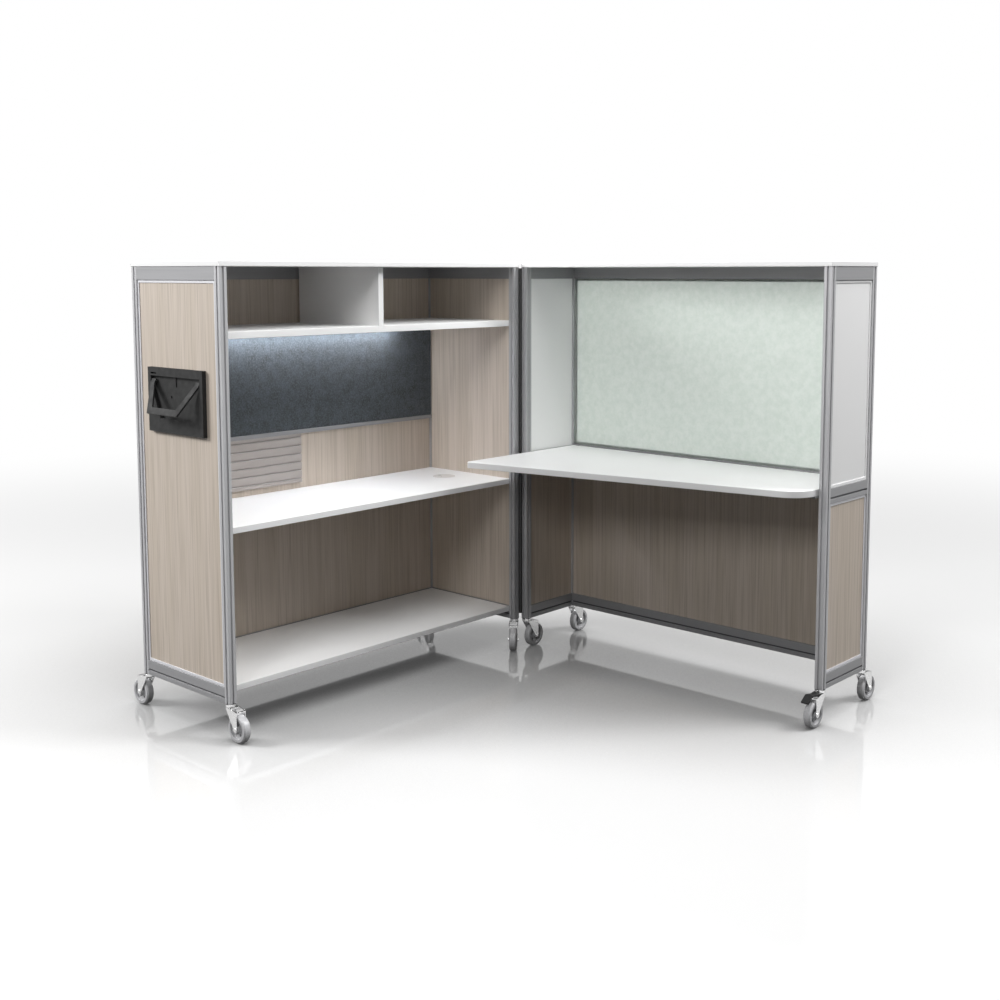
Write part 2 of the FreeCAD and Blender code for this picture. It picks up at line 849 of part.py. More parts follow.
def bail():
    """A flat bail: two arms that lean in towards a straight bar. It is drawn upright and then tilted out."""
    band = d.bail_band
    lift = d.bail_eye_lift
    bend = band / 2
    inner_bend = bend * bail_mitre_share
    eye_inner = eye_outer - band
    bar_inner = d.bail_bar_half - band * bail_mitre_share
    bar_top = band - bail_edge
    outline = [
        (eye_outer, lift),
        (eye_outer, -bend),
        (d.bail_bar_half, -bail_edge),
        (-d.bail_bar_half, -bail_edge),
        (-eye_outer, -bend),
        (-eye_outer, lift),
        (-eye_inner, lift),
        (-eye_inner, -inner_bend),
        (-bar_inner, bar_top),
        (bar_inner, bar_top),
        (eye_inner, -inner_bend),
        (eye_inner, lift),
    ]
    body = new_body("bail_strap")
    pad(body, "bail_band_pad", "YZ", outline, d.bail_thick, -d.bail_thick / 2)
    hole = d.bail_pin_radius + d.running_gap
    over = d.cut_overrun
    rod("bail_eyes", (0, -eye_outer - over, 0), hole, (eye_outer + over) * 2, "y", body, cut=True)
    place(body, (-bail_pivot_out, bail_y, bail_z), d.bail_tilt_angle, Vector(0, 1, 0))
    piece("handle_bail", left, body)


# Hinge between the cabinets

hinge_length = d.frame_height - d.hinge_low_end - d.hinge_top_end
knuckle_count = sizes["hinge_pair_count"] * 2 + 1
knuckle_pitch = hinge_length / (d.hinge_pair_count * 2 + 1)


def hinge_leaf(name, cabinet, face, away, first, count):
    """A leaf on a hinge end's face, with knuckles round the line in front of both cabinets' front corners."""
    body = new_body(f"{name}_strip")
    thick = d.hinge_leaf_thick
    gap = d.hinge_gap
    near_side = face if away > 0 else face - thick
    low = d.hinge_low_end
    barrel_clear = d.hinge_barrel_radius + d.hinge_leaf_relief - gap
    plate_size = (thick, d.hinge_leaf_wide - barrel_clear, hinge_length)
    block(f"{name}_plate", (near_side, barrel_clear, low), plate_size, body)
    knuckle_low = low + knuckle_pitch * first
    knuckle_high = knuckle_pitch - d.hinge_knuckle_gap
    tab_size = (thick, gap + barrel_clear, knuckle_high)
    tab = block(f"{name}_tab", (near_side, -gap, knuckle_low), tab_size, body)
    start = (face, -gap, knuckle_low)
    barrel = rod(f"{name}_knuckle", start, d.hinge_barrel_radius, knuckle_high, "z", body)
    row = body.newObject("PartDesign::LinearPattern", f"{name}_knuckles")
    row.Originals = [tab, barrel]
    row.Direction = (origin_part(body, "Z_Axis"), [""])
    bind(row, "Length", knuckle_pitch * 2 * (count - 1))
    row.Occurrences = count
    body.Tip = row
    bore = d.hinge_pin_radius + d.running_gap
    over = d.cut_overrun
    rod(f"{name}_bore", (face, -gap, low - over), bore, hinge_length + over * 2, "z", body, cut=True)
    piece(name, cabinet, body)


def hinge():
    pairs = sizes["hinge_pair_count"]
    hinge_leaf("left_hinge_leaf", left, left.hinge, 1, 0, pairs + 1)
    hinge_leaf("right_hinge_leaf", right, right.hinge, -1, 1, pairs)
    pin = new_body("hinge_pin_rod")
    x = d.left_width
    rod("hinge_pin_shank", (x, -d.hinge_gap, d.hinge_low_end), d.hinge_pin_radius, hinge_length, "z", pin)
    head_low = d.hinge_low_end + hinge_length - d.hinge_knuckle_gap
    rod("hinge_pin_cap", (x, -d.hinge_gap, head_low), d.hinge_barrel_radius, d.hinge_pin_head, "z", pin)
    piece("hinge_pin", left, pin)


# Casters: drawn with the swivel axis upright through the origin and the wheel trailing towards positive x

axle_z = d.wheel_radius - d.caster_height
crown_low = -d.swivel_gap - d.crown_high


def caster_fork(name, braked):
    """A swivel fork: crown and stem, two legs joined by a lip in front, the axle and any pedal's pin."""
    body = new_body(f"{name}_pressing")
    legs_front = d.wheel_trail + d.leg_end_radius
    rod(f"{name}_crown", (0, 0, crown_low), d.crown_radius, d.crown_high, "z", body)
    rod(f"{name}_stem", (0, 0, -d.swivel_gap), d.stem_radius, d.stem_length, "z", body)
    outline = [
        (-d.leg_back, crown_low),
        (-d.leg_back, crown_low - d.leg_shoulder),
        (d.wheel_trail - d.leg_end_radius, axle_z),
        (legs_front, axle_z),
        (legs_front, crown_low - d.leg_drop),
        (d.leg_front, crown_low),
    ]
    pad(body, f"{name}_legs", "XZ", outline, leg_outer * 2, -leg_outer)
    end_start = (d.wheel_trail, -leg_outer, axle_z)
    rod(f"{name}_leg_ends", end_start, d.leg_end_radius, leg_outer * 2, "y", body)
    slot_low = axle_z - d.wheel_radius
    slot_corner = (-wheel_reach, -leg_inner, slot_low)
    slot_size = (wheel_reach * 3, leg_inner * 2, crown_low - d.bridge_thick - slot_low)
    block(f"{name}_wheel_space", slot_corner, slot_size, body, cut=True)
    window_start = d.crown_radius + d.leg_gap
    window_size = (legs_front - d.lip_thick - window_start, leg_inner * 2, -slot_low)
    block(f"{name}_window", (window_start, -leg_inner, slot_low), window_size, body, cut=True)
    through = leg_outer * 2 + d.cut_overrun * 2
    hole_y = -leg_outer - d.cut_overrun
    rod(f"{name}_axle_hole", (d.wheel_trail, hole_y, axle_z), d.axle_radius, through, "y", body, cut=True)
    solids = [body]
    axle = new_body(f"{name}_axle_bolt")
    rod(f"{name}_axle", (d.wheel_trail, -leg_outer, axle_z), d.axle_radius, leg_outer * 2, "y", axle)
    for side, y in (("head", -leg_outer - d.axle_head), ("nut", leg_outer)):
        rod(f"{name}_axle_{side}", (d.wheel_trail, y, axle_z), d.axle_head_radius, d.axle_head, "y", axle)
    solids.append(axle)
    if braked:
        pin_z = -d.pedal_pin_down
        hole_start = (d.pedal_pin_out, hole_y, pin_z)
        rod(f"{name}_pedal_hole", hole_start, d.pedal_pin_radius, through, "y", body, cut=True)
        pin_start = (d.pedal_pin_out, -leg_outer, pin_z)
        solids.append(rod(f"{name}_pedal_pin", pin_start, d.pedal_pin_radius, leg_outer * 2, "y"))
    return solids


def caster_wheel(name):
    """A moulded wheel: tread, web with round holes, and a hub that nearly fills the fork."""
    bore = d.axle_radius + d.running_gap
    half = d.wheel_width / 2
    hub = leg_inner - d.leg_gap / 2
    web = d.wheel_web / 2
    rim = d.wheel_radius - d.wheel_rim
    shoulder = d.wheel_shoulder
    side = [
        (bore, hub),
        (d.wheel_hub_radius, hub),
        (d.wheel_hub_radius, web),
        (rim, web),
        (rim, half),
        (d.wheel_radius - shoulder, half),
        (d.wheel_radius, half - shoulder),
    ]
    outline = side + [(radius, -across) for radius, across in reversed(side)]
    body = new_body(f"{name}_moulding")
    turned = body.newObject("PartDesign::Revolution", f"{name}_turned")
    turned.Profile = sketch(body, f"{name}_section", "XY", outline)
    turned.ReferenceAxis = (origin_part(body, "Y_Axis"), [""])
    turned.Angle = 360
    web_middle = (d.wheel_hub_radius + rim) / 2
    start = (web_middle, -half, 0)
    hole = rod(f"{name}_hole", start, d.wheel_hole_radius, d.wheel_width, "y", body, cut=True)
    holes = body.newObject("PartDesign::PolarPattern", f"{name}_holes")
    holes.Originals = [hole]
    holes.Axis = (origin_part(body, "Y_Axis"), [""])
    holes.Angle = 360
    holes.Occurrences = sizes["wheel_hole_count"]
    body.Tip = holes
    place(body, (d.wheel_trail, 0, axle_z))
    return body


def brake_pedal(name):
    """A pedal that turns on a pin between the fork's legs and reaches out over the lip and the wheel."""
    body = new_body(f"{name}_lever")
    eye, thick = d.pedal_eye, d.pedal_thick
    back = d.pedal_pin_out - eye
    outline = [
        (back, -d.pedal_pin_down - eye),
        (d.pedal_pin_out + eye, -d.pedal_pin_down - eye),
        (d.pedal_neck, -d.pedal_neck_down),
        (d.pedal_bend, -d.pedal_bend_down - thick),
        (d.pedal_tip - eye, -d.pedal_tip_down - thick),
        (d.pedal_tip, -d.pedal_tip_down),
        (d.pedal_bend, -d.pedal_bend_down),
        (back, -d.pedal_pin_down + eye),
    ]
    pad(body, f"{name}_plate", "XZ", outline, d.pedal_half * 2, -d.pedal_half)
    hole = d.pedal_pin_radius + d.running_gap
    through = (d.pedal_half + d.cut_overrun) * 2
    start = (d.pedal_pin_out, -d.pedal_half - d.cut_overrun, -d.pedal_pin_down)
    rod(f"{name}_eye", start, hole, through, "y", body, cut=True)
    return body


# Each caster's cabinet, post, heading in its cabinet's plan (-90 is straight to the front) and brake
casters = (
    ("left_front_outer", left, "outer", "front", -90, False),
    ("left_rear_outer", left, "outer", "rear", 90, False),
    ("left_front_hinge", left, "hinge", "front", -142, False),
    ("left_rear_hinge", left, "hinge", "rear", 90, False),
    ("right_front_outer", right, "outer", "front", -90, True),
    ("right_rear_outer", right, "outer", "rear", 90, False),
    ("right_front_hinge", right, "hinge", "front", 90, False),
    ("right_rear_hinge", right, "hinge", "rear", 90, False),
)


def caster(name, cabinet, side, row, heading, braked):
    """One caster under a post: its fork, its wheel and, where it is braked, its pedal."""
    centre = d.post / 2
    at_low_x = (side == "outer") == (cabinet is left)
    x = centre if at_low_x else cabinet.width - centre
    y = centre if row == "front" else cabinet.depth - centre
    kinds = {
        "fork": caster_fork(f"fork_{name}", braked),
        "wheel": [caster_wheel(f"wheel_{name}")],
    }
    if braked:
        kinds["pedal"] = [brake_pedal(f"pedal_{name}")]
    for kind, solids in kinds.items():
        turned = doc.addObject("Part::Compound", f"{kind}_{name}_turned")
        turned.Links = solids
        place(turned, (x, y, 0), heading)
        piece(f"{kind}_{name}", cabinet, turned)


# Making every piece

for cabinet in (left, right):
    frame(cabinet)
    lid(cabinet)
left_panels()
right_panels()
left_boards()
left_wall_pieces()
grommet()
task_light()
right_brackets()
right_worktop()
handle_plate()
bail_pins()
bail()
hinge()
for entry in casters:
    caster(*entry)
doc.recompute()


# Checking every object, then writing the pieces

def check(item):
    """Stops when an object of the document failed or a piece has no sound shape."""
    broken = [word for word in item.State if word in ("Invalid", "Error")]
    if broken:
        raise RuntimeError(f"{item.Name} is {broken}")


for item in doc.Objects:
    check(item)
os.makedirs("parts", exist_ok=True)
for node in nodes:
    if node.Shape.isNull() or not node.Shape.isValid() or not node.Shape.Solids:
        raise RuntimeError(f"{node.Label} has no sound shape")
    node.Shape.exportStep(f"parts/{node.Label}.step")
print(len(nodes), "pieces written")
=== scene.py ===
import json
import math

import bmesh
import bpy
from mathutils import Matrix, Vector


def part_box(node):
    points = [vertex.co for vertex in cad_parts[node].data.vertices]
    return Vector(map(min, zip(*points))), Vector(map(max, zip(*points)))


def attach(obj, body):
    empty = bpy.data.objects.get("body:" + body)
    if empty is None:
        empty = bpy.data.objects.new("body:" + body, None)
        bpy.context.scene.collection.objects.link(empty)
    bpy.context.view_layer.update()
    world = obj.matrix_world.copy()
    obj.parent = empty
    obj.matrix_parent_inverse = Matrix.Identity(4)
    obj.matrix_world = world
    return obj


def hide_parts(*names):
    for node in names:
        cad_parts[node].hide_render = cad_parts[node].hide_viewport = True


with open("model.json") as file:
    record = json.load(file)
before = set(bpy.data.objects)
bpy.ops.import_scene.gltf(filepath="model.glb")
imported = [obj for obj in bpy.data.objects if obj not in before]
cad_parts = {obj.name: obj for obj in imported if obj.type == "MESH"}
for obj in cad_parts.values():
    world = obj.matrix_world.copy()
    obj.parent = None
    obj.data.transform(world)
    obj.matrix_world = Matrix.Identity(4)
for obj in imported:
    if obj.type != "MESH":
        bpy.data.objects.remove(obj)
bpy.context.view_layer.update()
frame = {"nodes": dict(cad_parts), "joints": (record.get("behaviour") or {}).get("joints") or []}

MM = 0.001

# The two cabinets' bodies: the left one opens towards +X and the right one towards -Y
LEFT = "left_cabinet"
RIGHT = "right_cabinet"


# Materials: one small function adds a node, and each finish has its own function

# A Mix node's colour sockets go by number
SHARE = 0
FIRST = 6
SECOND = 7
MIXED = 2

# A noise pattern's values lie mostly in this span
NOISE_SPAN = {"From Min": 0.3, "From Max": 0.7}


def linear(code):
    """An sRGB hex colour as linear red, green, blue and alpha."""
    parts = [int(code[start:start + 2], 16) / 255 for start in (0, 2, 4)]
    return [part / 12.92 if part <= 0.04045 else ((part + 0.055) / 1.055) ** 2.4 for part in parts] + [1]


def feed(tree, node, links):
    """Links a node's inputs to the outputs that drive them."""
    for key, source in links.items():
        tree.links.new(source, node.inputs[key])


def add(tree, kind, settings=None, links=None):
    """Adds a node. Settings name its properties or inputs, and links name its inputs and what feeds them."""
    made = tree.nodes.new(kind)
    for key, value in (settings or {}).items():
        if isinstance(key, str) and hasattr(made, key):
            setattr(made, key, value)
        else:
            made.inputs[key].default_value = value
    feed(tree, made, links or {})
    return made


def per_metre(millimetres):
    """The scale at which a pattern repeats about every so many millimetres."""
    return 1 / (millimetres * MM)


def begin(name, colour, roughness, more=None):
    """A material with its plain values on the shader, and the object's own coordinates for patterns."""
    material = bpy.data.materials.new(name)
    material.use_nodes = True
    tree = material.node_tree
    shader = tree.nodes["Principled BSDF"]
    plain = {"Base Color": linear(colour), "Roughness": roughness, **(more or {})}
    for key, value in plain.items():
        shader.inputs[key].default_value = value
    place = add(tree, "ShaderNodeTexCoord")
    return material, tree, shader, place.outputs["Object"]


def oak_laminate():
    """Melamine board printed with straight pale oak: soft upright streaks, fine pores and a dull face."""
    material, tree, shader, place = begin("oak_print_laminate", "C3B8AA", 0.5)
    streak_stretch = 60
    upright = add(tree, "ShaderNodeMapping", {"Scale": (1, 1, 1 / streak_stretch)}, {"Vector": place})
    boards = add(
        tree,
        "ShaderNodeTexNoise",
        {"Scale": per_metre(70), "Detail": 1, "Roughness": 0.5},
        {"Vector": upright.outputs[0]},
    )
    streaks = add(
        tree,
        "ShaderNodeTexNoise",
        {"Scale": per_metre(12), "Detail": 3, "Roughness": 0.6},
        {"Vector": upright.outputs[0]},
    )
    # Real pores are 1 mm apart, and are drawn at 6 mm so that a picture of the whole object shows them
    pores = add(
        tree,
        "ShaderNodeTexNoise",
        {"Scale": per_metre(6), "Detail": 2, "Roughness": 0.6},
        {"Vector": upright.outputs[0]},
    )
    board_share = add(
        tree,
        "ShaderNodeMapRange",
        {"From Min": 0.35, "From Max": 0.65},
        {"Value": boards.outputs[0]},
    )
    ground = add(
        tree,
        "ShaderNodeMix",
        {"data_type": "RGBA", FIRST: linear("C6BAAC"), SECOND: linear("CCC0B4")},
        {SHARE: board_share.outputs[0]},
    )
    streak_share = add(
        tree,
        "ShaderNodeMapRange",
        {"From Min": 0.4, "From Max": 0.62, "To Max": 0.45},
        {"Value": streaks.outputs[0]},
    )
    streaked = add(
        tree,
        "ShaderNodeMix",
        {"data_type": "RGBA", SECOND: linear("B2A597")},
        {SHARE: streak_share.outputs[0], FIRST: ground.outputs[MIXED]},
    )
    pore_share = add(
        tree,
        "ShaderNodeMapRange",
        {"From Min": 0.52, "From Max": 0.7, "To Max": 0.4},
        {"Value": pores.outputs[0]},
    )
    colour = add(
        tree,
        "ShaderNodeMix",
        {"data_type": "RGBA", SECOND: linear("9E9283")},
        {SHARE: pore_share.outputs[0], FIRST: streaked.outputs[MIXED]},
    )
    bump = add(tree, "ShaderNodeBump", {"Strength": 0.15, "Distance": 0.1 * MM}, {"Height": pores.outputs[0]})
    feed(tree, shader, {"Base Color": colour.outputs[MIXED], "Normal": bump.outputs[0]})
    return material


def pressed_laminate(name, colour, roughness):
    """High-pressure laminate or edge banding: an even colour with the faint pearl of its press plate."""
    material, tree, shader, place = begin(name, colour, roughness)
    pearl = add(tree, "ShaderNodeTexNoise", {"Scale": per_metre(1.2), "Detail": 2}, {"Vector": place})
    cloud = add(tree, "ShaderNodeTexNoise", {"Scale": per_metre(160), "Detail": 3}, {"Vector": place})
    rough = add(
        tree,
        "ShaderNodeMapRange",
        {**NOISE_SPAN, "To Min": roughness - 0.05, "To Max": roughness + 0.07},
        {"Value": cloud.outputs[0]},
    )
    bump = add(tree, "ShaderNodeBump", {"Strength": 0.2, "Distance": 0.05 * MM}, {"Height": pearl.outputs[0]})
    feed(tree, shader, {"Roughness": rough.outputs[0], "Normal": bump.outputs[0]})
    return material


def anodised_aluminium(name, colour, roughness, along=None):
    """Extruded and satin anodised: a dull soft grey with faint die lines that run along the bar."""
    material, tree, shader, place = begin(name, colour, roughness, {"Metallic": 0.25})
    line_stretch = 90
    scale = [1 / line_stretch if axis == along else 1 for axis in "xyz"]
    drawn = add(tree, "ShaderNodeMapping", {"Scale": scale}, {"Vector": place})
    lines = add(
        tree,
        "ShaderNodeTexNoise",
        {"Scale": per_metre(5), "Detail": 2, "Roughness": 0.6},
        {"Vector": drawn.outputs[0]},
    )
    value = add(
        tree,
        "ShaderNodeMapRange",
        {**NOISE_SPAN, "To Min": 0.95, "To Max": 1.04},
        {"Value": lines.outputs[0]},
    )
    tone = add(tree, "ShaderNodeHueSaturation", {"Color": linear(colour)}, {"Value": value.outputs[0]})
    rough = add(
        tree,
        "ShaderNodeMapRange",
        {**NOISE_SPAN, "To Min": roughness - 0.04, "To Max": roughness + 0.05},
        {"Value": lines.outputs[0]},
    )
    feed(tree, shader, {"Base Color": tone.outputs[0], "Roughness": rough.outputs[0]})
    return material


def etched_glass():
    """Acid-etched glass: a pale green white that glows with the light behind it, finely clouded."""
    clear = {"Transmission Weight": 0.7, "IOR": 1.5}
    material, tree, shader, place = begin("acid_etched_glass", "E4EBE5", 0.55, clear)
    grain = add(
        tree,
        "ShaderNodeTexNoise",
        {"Scale": per_metre(24), "Detail": 4, "Roughness": 0.65},
        {"Vector": place},
    )
    share = add(tree, "ShaderNodeMapRange", {"From Min": 0.35, "From Max": 0.65}, {"Value": grain.outputs[0]})
    colour = add(
        tree,
        "ShaderNodeMix",
        {"data_type": "RGBA", FIRST: linear("DCE5DE"), SECOND: linear("EBF1EC")},
        {SHARE: share.outputs[0]},
    )
    bump = add(tree, "ShaderNodeBump", {"Strength": 0.2, "Distance": 0.1 * MM}, {"Height": grain.outputs[0]})
    feed(tree, shader, {"Base Color": colour.outputs[MIXED], "Normal": bump.outputs[0]})
    return material


def needled_felt():
    """Pressed charcoal felt for pins: mottled dark fibres with a soft sheen where the light grazes them."""
    sheen = {"Sheen Weight": 0.6, "Sheen Roughness": 0.45}
    material, tree, shader, place = begin("needled_wool_felt", "2C3237", 0.92, sheen)
    mottle = add(
        tree,
        "ShaderNodeTexNoise",
        {"Scale": per_metre(34), "Detail": 4, "Roughness": 0.65},
        {"Vector": place},
    )
    # Real fibres are finer than 1 mm, and are drawn at 7 mm so that a picture of the whole object shows them
    fibres = add(
        tree,
        "ShaderNodeTexNoise",
        {"Scale": per_metre(7), "Detail": 5, "Roughness": 0.8},
        {"Vector": place},
    )
    mottle_share = add(
        tree,
        "ShaderNodeMapRange",
        {"From Min": 0.36, "From Max": 0.66},
        {"Value": mottle.outputs[0]},
    )
    ground = add(
        tree,
        "ShaderNodeMix",
        {"data_type": "RGBA", FIRST: linear("1F2529"), SECOND: linear("384045")},
        {SHARE: mottle_share.outputs[0]},
    )
    fibre_share = add(
        tree,
        "ShaderNodeMapRange",
        {"From Min": 0.45, "From Max": 0.65, "To Max": 0.7},
        {"Value": fibres.outputs[0]},
    )
    colour = add(
        tree,
        "ShaderNodeMix",
        {"data_type": "RGBA", SECOND: linear("565E64")},
        {SHARE: fibre_share.outputs[0], FIRST: ground.outputs[MIXED]},
    )
    bump = add(tree, "ShaderNodeBump", {"Strength": 0.6, "Distance": 0.5 * MM}, {"Height": fibres.outputs[0]})
    feed(tree, shader, {"Base Color": colour.outputs[MIXED], "Normal": bump.outputs[0]})
    return material


def powder_coat(name, colour, roughness):
    """Baked powder paint on steel: an even colour over a fine orange peel."""
    material, tree, shader, place = begin(name, colour, roughness)
    peel = add(tree, "ShaderNodeTexNoise", {"Scale": per_metre(1.6), "Detail": 1}, {"Vector": place})
    rough = add(
        tree,
        "ShaderNodeMapRange",
        {**NOISE_SPAN, "To Min": roughness - 0.05, "To Max": roughness + 0.05},
        {"Value": peel.outputs[0]},
    )
    bump = add(tree, "ShaderNodeBump", {"Strength": 0.3, "Distance": 0.1 * MM}, {"Height": peel.outputs[0]})
    feed(tree, shader, {"Roughness": rough.outputs[0], "Normal": bump.outputs[0]})
    return material


def moulded_plastic(name, colour, roughness):
    """Injection-moulded plastic from a spark-eroded tool: a dull fine grain that softens its highlights."""
    material, tree, shader, place = begin(name, colour, roughness, {"Specular IOR Level": 0.25})
    grain = add(tree, "ShaderNodeTexVoronoi", {"Scale": per_metre(0.9)}, {"Vector": place})
    wear = add(tree, "ShaderNodeTexNoise", {"Scale": per_metre(22), "Detail": 4}, {"Vector": place})
    rough = add(
        tree,
        "ShaderNodeMapRange",
        {**NOISE_SPAN, "To Min": roughness - 0.08, "To Max": roughness + 0.08},
        {"Value": wear.outputs[0]},
    )
    bump = add(
        tree,
        "ShaderNodeBump",
        {"Strength": 0.35, "Distance": 0.08 * MM},
        {"Height": grain.outputs[0]},
    )
    feed(tree, shader, {"Roughness": rough.outputs[0], "Normal": bump.outputs[0]})
    return material


def bright_zinc(name, colour, roughness):
    """Pressed or turned steel with bright zinc plate: sharp reflections, slightly clouded by handling."""
    material, tree, shader, place = begin(name, colour, roughness, {"Metallic": 1.0})
    cloud = add(
        tree,
        "ShaderNodeTexNoise",
        {"Scale": per_metre(12), "Detail": 4, "Roughness": 0.6},
        {"Vector": place},
    )
    rough = add(
        tree,
        "ShaderNodeMapRange",
        {**NOISE_SPAN, "To Min": roughness - 0.08, "To Max": roughness + 0.12},
        {"Value": cloud.outputs[0]},
    )
    feed(tree, shader, {"Roughness": rough.outputs[0]})
    return material


def cast_tread():
    """Cast grey polyurethane: slightly glossy, scuffed where it rolls."""
    material, tree, shader, place = begin("cast_polyurethane_tread", "CECED0", 0.3)
    scuff = add(
        tree,
        "ShaderNodeTexNoise",
        {"Scale": per_metre(6), "Detail": 5, "Roughness": 0.7},
        {"Vector": place},
    )
    share = add(tree, "ShaderNodeMapRange", {"From Min": 0.4, "From Max": 0.7}, {"Value": scuff.outputs[0]})
    colour = add(
        tree,
        "ShaderNodeMix",
        {"data_type": "RGBA", FIRST: linear("D2D2D4"), SECOND: linear("BABABC")},
        {SHARE: share.outputs[0]},
    )
    bump = add(
        tree,
        "ShaderNodeBump",
        {"Strength": 0.25, "Distance": 0.15 * MM},
        {"Height": scuff.outputs[0]},
    )
    feed(tree, shader, {"Base Color": colour.outputs[MIXED], "Normal": bump.outputs[0]})
    return material


def opal_lens():
    """Extruded opal acrylic over a strip of lights: it glows evenly and has faint ribs along its length."""
    glow = {"Emission Color": linear("F2F6FF"), "Emission Strength": 25.0}
    material, tree, shader, place = begin("opal_acrylic_lens", "F2F4F6", 0.4, glow)
    ribs = add(tree, "ShaderNodeTexWave", {"Scale": per_metre(20), "bands_direction": "X"}, {"Vector": place})
    bump = add(
        tree,
        "ShaderNodeBump",
        {"Strength": 0.2, "Distance": 0.1 * MM},
        {"Height": ribs.outputs["Fac"]},
    )
    feed(tree, shader, {"Normal": bump.outputs[0]})
    return material


OAK = oak_laminate()
WHITE = pressed_laminate("white_pressed_laminate", "F0F0F0", 0.42)
EDGE = pressed_laminate("white_abs_edge_band", "F0F0F0", 0.5)
POST_GREY = "B2B2B4"
RAIL_GREY = "929294"
ALUMINIUM = {
    "x": anodised_aluminium("satin_anodised_rail_x", RAIL_GREY, 0.45, "x"),
    "y": anodised_aluminium("satin_anodised_rail_y", RAIL_GREY, 0.45, "y"),
    "z": anodised_aluminium("satin_anodised_post", POST_GREY, 0.45, "z"),
}
# The rails' slot floors are the rails' own aluminium, painted dark grey as painted shade
SLOT_PAINTED_SHADE = anodised_aluminium("painted_shade_slot_floor", "4E4E50", 0.6)
BEAD = anodised_aluminium("pale_anodised_bead", "D8D8DC", 0.4)
GLASS = etched_glass()
FELT = needled_felt()
SLAT = powder_coat("warm_grey_powder_coat", "A8A19D", 0.5)
ENAMEL = powder_coat("white_stove_enamel", "DCDCDC", 0.35)
BRACKET = powder_coat("grey_powder_coat", "9A9A9A", 0.5)
BLACK_STEEL = powder_coat("black_powder_coat", "0C0C0C", 0.6)
BLACK_PLASTIC = moulded_plastic("black_moulded_nylon", "202020", 0.7)
GREY_PLASTIC = moulded_plastic("pale_moulded_abs", "D4D1CE", 0.45)
CORE_PLASTIC = moulded_plastic("grey_moulded_wheel_core", "BEBEC0", 0.4)
ZINC = bright_zinc("bright_zinc_plate", "E2E2E2", 0.2)
PIN_STEEL = bright_zinc("drawn_steel_pin", "8C8C8C", 0.3)
TREAD = cast_tread()
OPAL = opal_lens()


# Meshes: a copy of a CAD node is merged, its flat faces are joined and its edges are rounded

# A piece's further materials, which some of its faces are painted with
SECOND_MATERIAL = 1
THIRD_MATERIAL = 2

# A face whose normal rises by more than this looks up
LOOKS_UP = 0.7


def merged_copy(node):
    """One closed mesh from a node's loose triangles, with each flat side as one face."""
    weld = 0.01 * MM
    flat_angle = math.radians(1)
    mesh = bmesh.new()
    mesh.from_mesh(frame["nodes"][node].data)
    bmesh.ops.remove_doubles(mesh, verts=mesh.verts, dist=weld)
    bmesh.ops.dissolve_limit(mesh, angle_limit=flat_angle, verts=mesh.verts, edges=mesh.edges)
    return mesh


def softened(node, radius, segments=2):
    """A copy of the node whose sharp edges are rounded. The radius is in millimetres."""
    mesh = merged_copy(node)
    sharp_angle = math.radians(30)
    sharp = [edge for edge in mesh.edges if edge.is_manifold and edge.calc_face_angle() > sharp_angle]
    bmesh.ops.bevel(
        mesh,
        geom=sharp,
        offset=radius * MM,
        offset_type="OFFSET",
        segments=segments,
        profile=0.5,
        affect="EDGES",
        clamp_overlap=True,
        material=-1,
    )
    return mesh


def paint(mesh, index, test):
    """Gives the faces that pass a test another of the piece's materials."""
    for face in mesh.faces:
        if test(face):
            face.material_index = index


def make_piece(node, mesh, body, slot, *materials):
    """Turns a finished mesh into the piece that stands for a CAD node and moves with its body."""
    name = f"{node}_made"
    crease_angle = math.radians(40)
    data = bpy.data.meshes.new(name)
    mesh.to_mesh(data)
    mesh.free()
    data.polygons.foreach_set("use_smooth", [True] * len(data.polygons))
    data.set_sharp_from_angle(angle=crease_angle)
    for material in materials:
        data.materials.append(material)
    made = bpy.data.objects.new(name, data)
    bpy.context.scene.collection.objects.link(made)
    weighted = made.modifiers.new("even_shading", "WEIGHTED_NORMAL")
    weighted.keep_sharp = True
    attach(made, body)
    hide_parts(node)


def stand_in(node, body, slot, material, radius, segments=2):
    """A piece of one material with the node's own shape and its edges rounded."""
    make_piece(node, softened(node, radius, segments), body, slot, material)


# Frame, panels and boards

def is_slot_floor(face):
    """The bottom of a rail's slot: an upright strip 4 to 9 mm high and over 100 mm long."""
    least_height = 4 * MM
    most_height = 9 * MM
    least_run = 100 * MM
    most_lean = 0.1
    levels = [vertex.co.z for vertex in face.verts]
    height = max(levels) - min(levels)
    run = max(edge.calc_length() for edge in face.edges)
    upright = abs(face.normal.z) < most_lean
    return upright and least_height < height < most_height and run > least_run


def aluminium_frame():
    """Extruded posts and rails with a small radius on every edge, and painted shade on the rails' slot
    floors. The left cabinet is turned by 90.
    """
    for side, body, end_run, rear_run in (("left", LEFT, "x", "y"), ("right", RIGHT, "y", "x")):
        runs = {"front_posts": "z", "rear_posts": "z", "end_rails": end_run, "rear_rails": rear_run}
        for kind, run in runs.items():
            node = f"{side}_{kind}"
            mesh = softened(node, radius=0.8)
            if run != "z":
                # Painted shade: the slot floors take the dark grey
                paint(mesh, SECOND_MATERIAL, is_slot_floor)
            make_piece(node, mesh, body, "frame_aluminium", ALUMINIUM[run], SLOT_PAINTED_SHADE)
    stand_in("glass_rail", RIGHT, "frame_aluminium", ALUMINIUM["x"], radius=1.0)
    stand_in("tackboard_rail", LEFT, "frame_aluminium", ALUMINIUM["y"], radius=1.0)


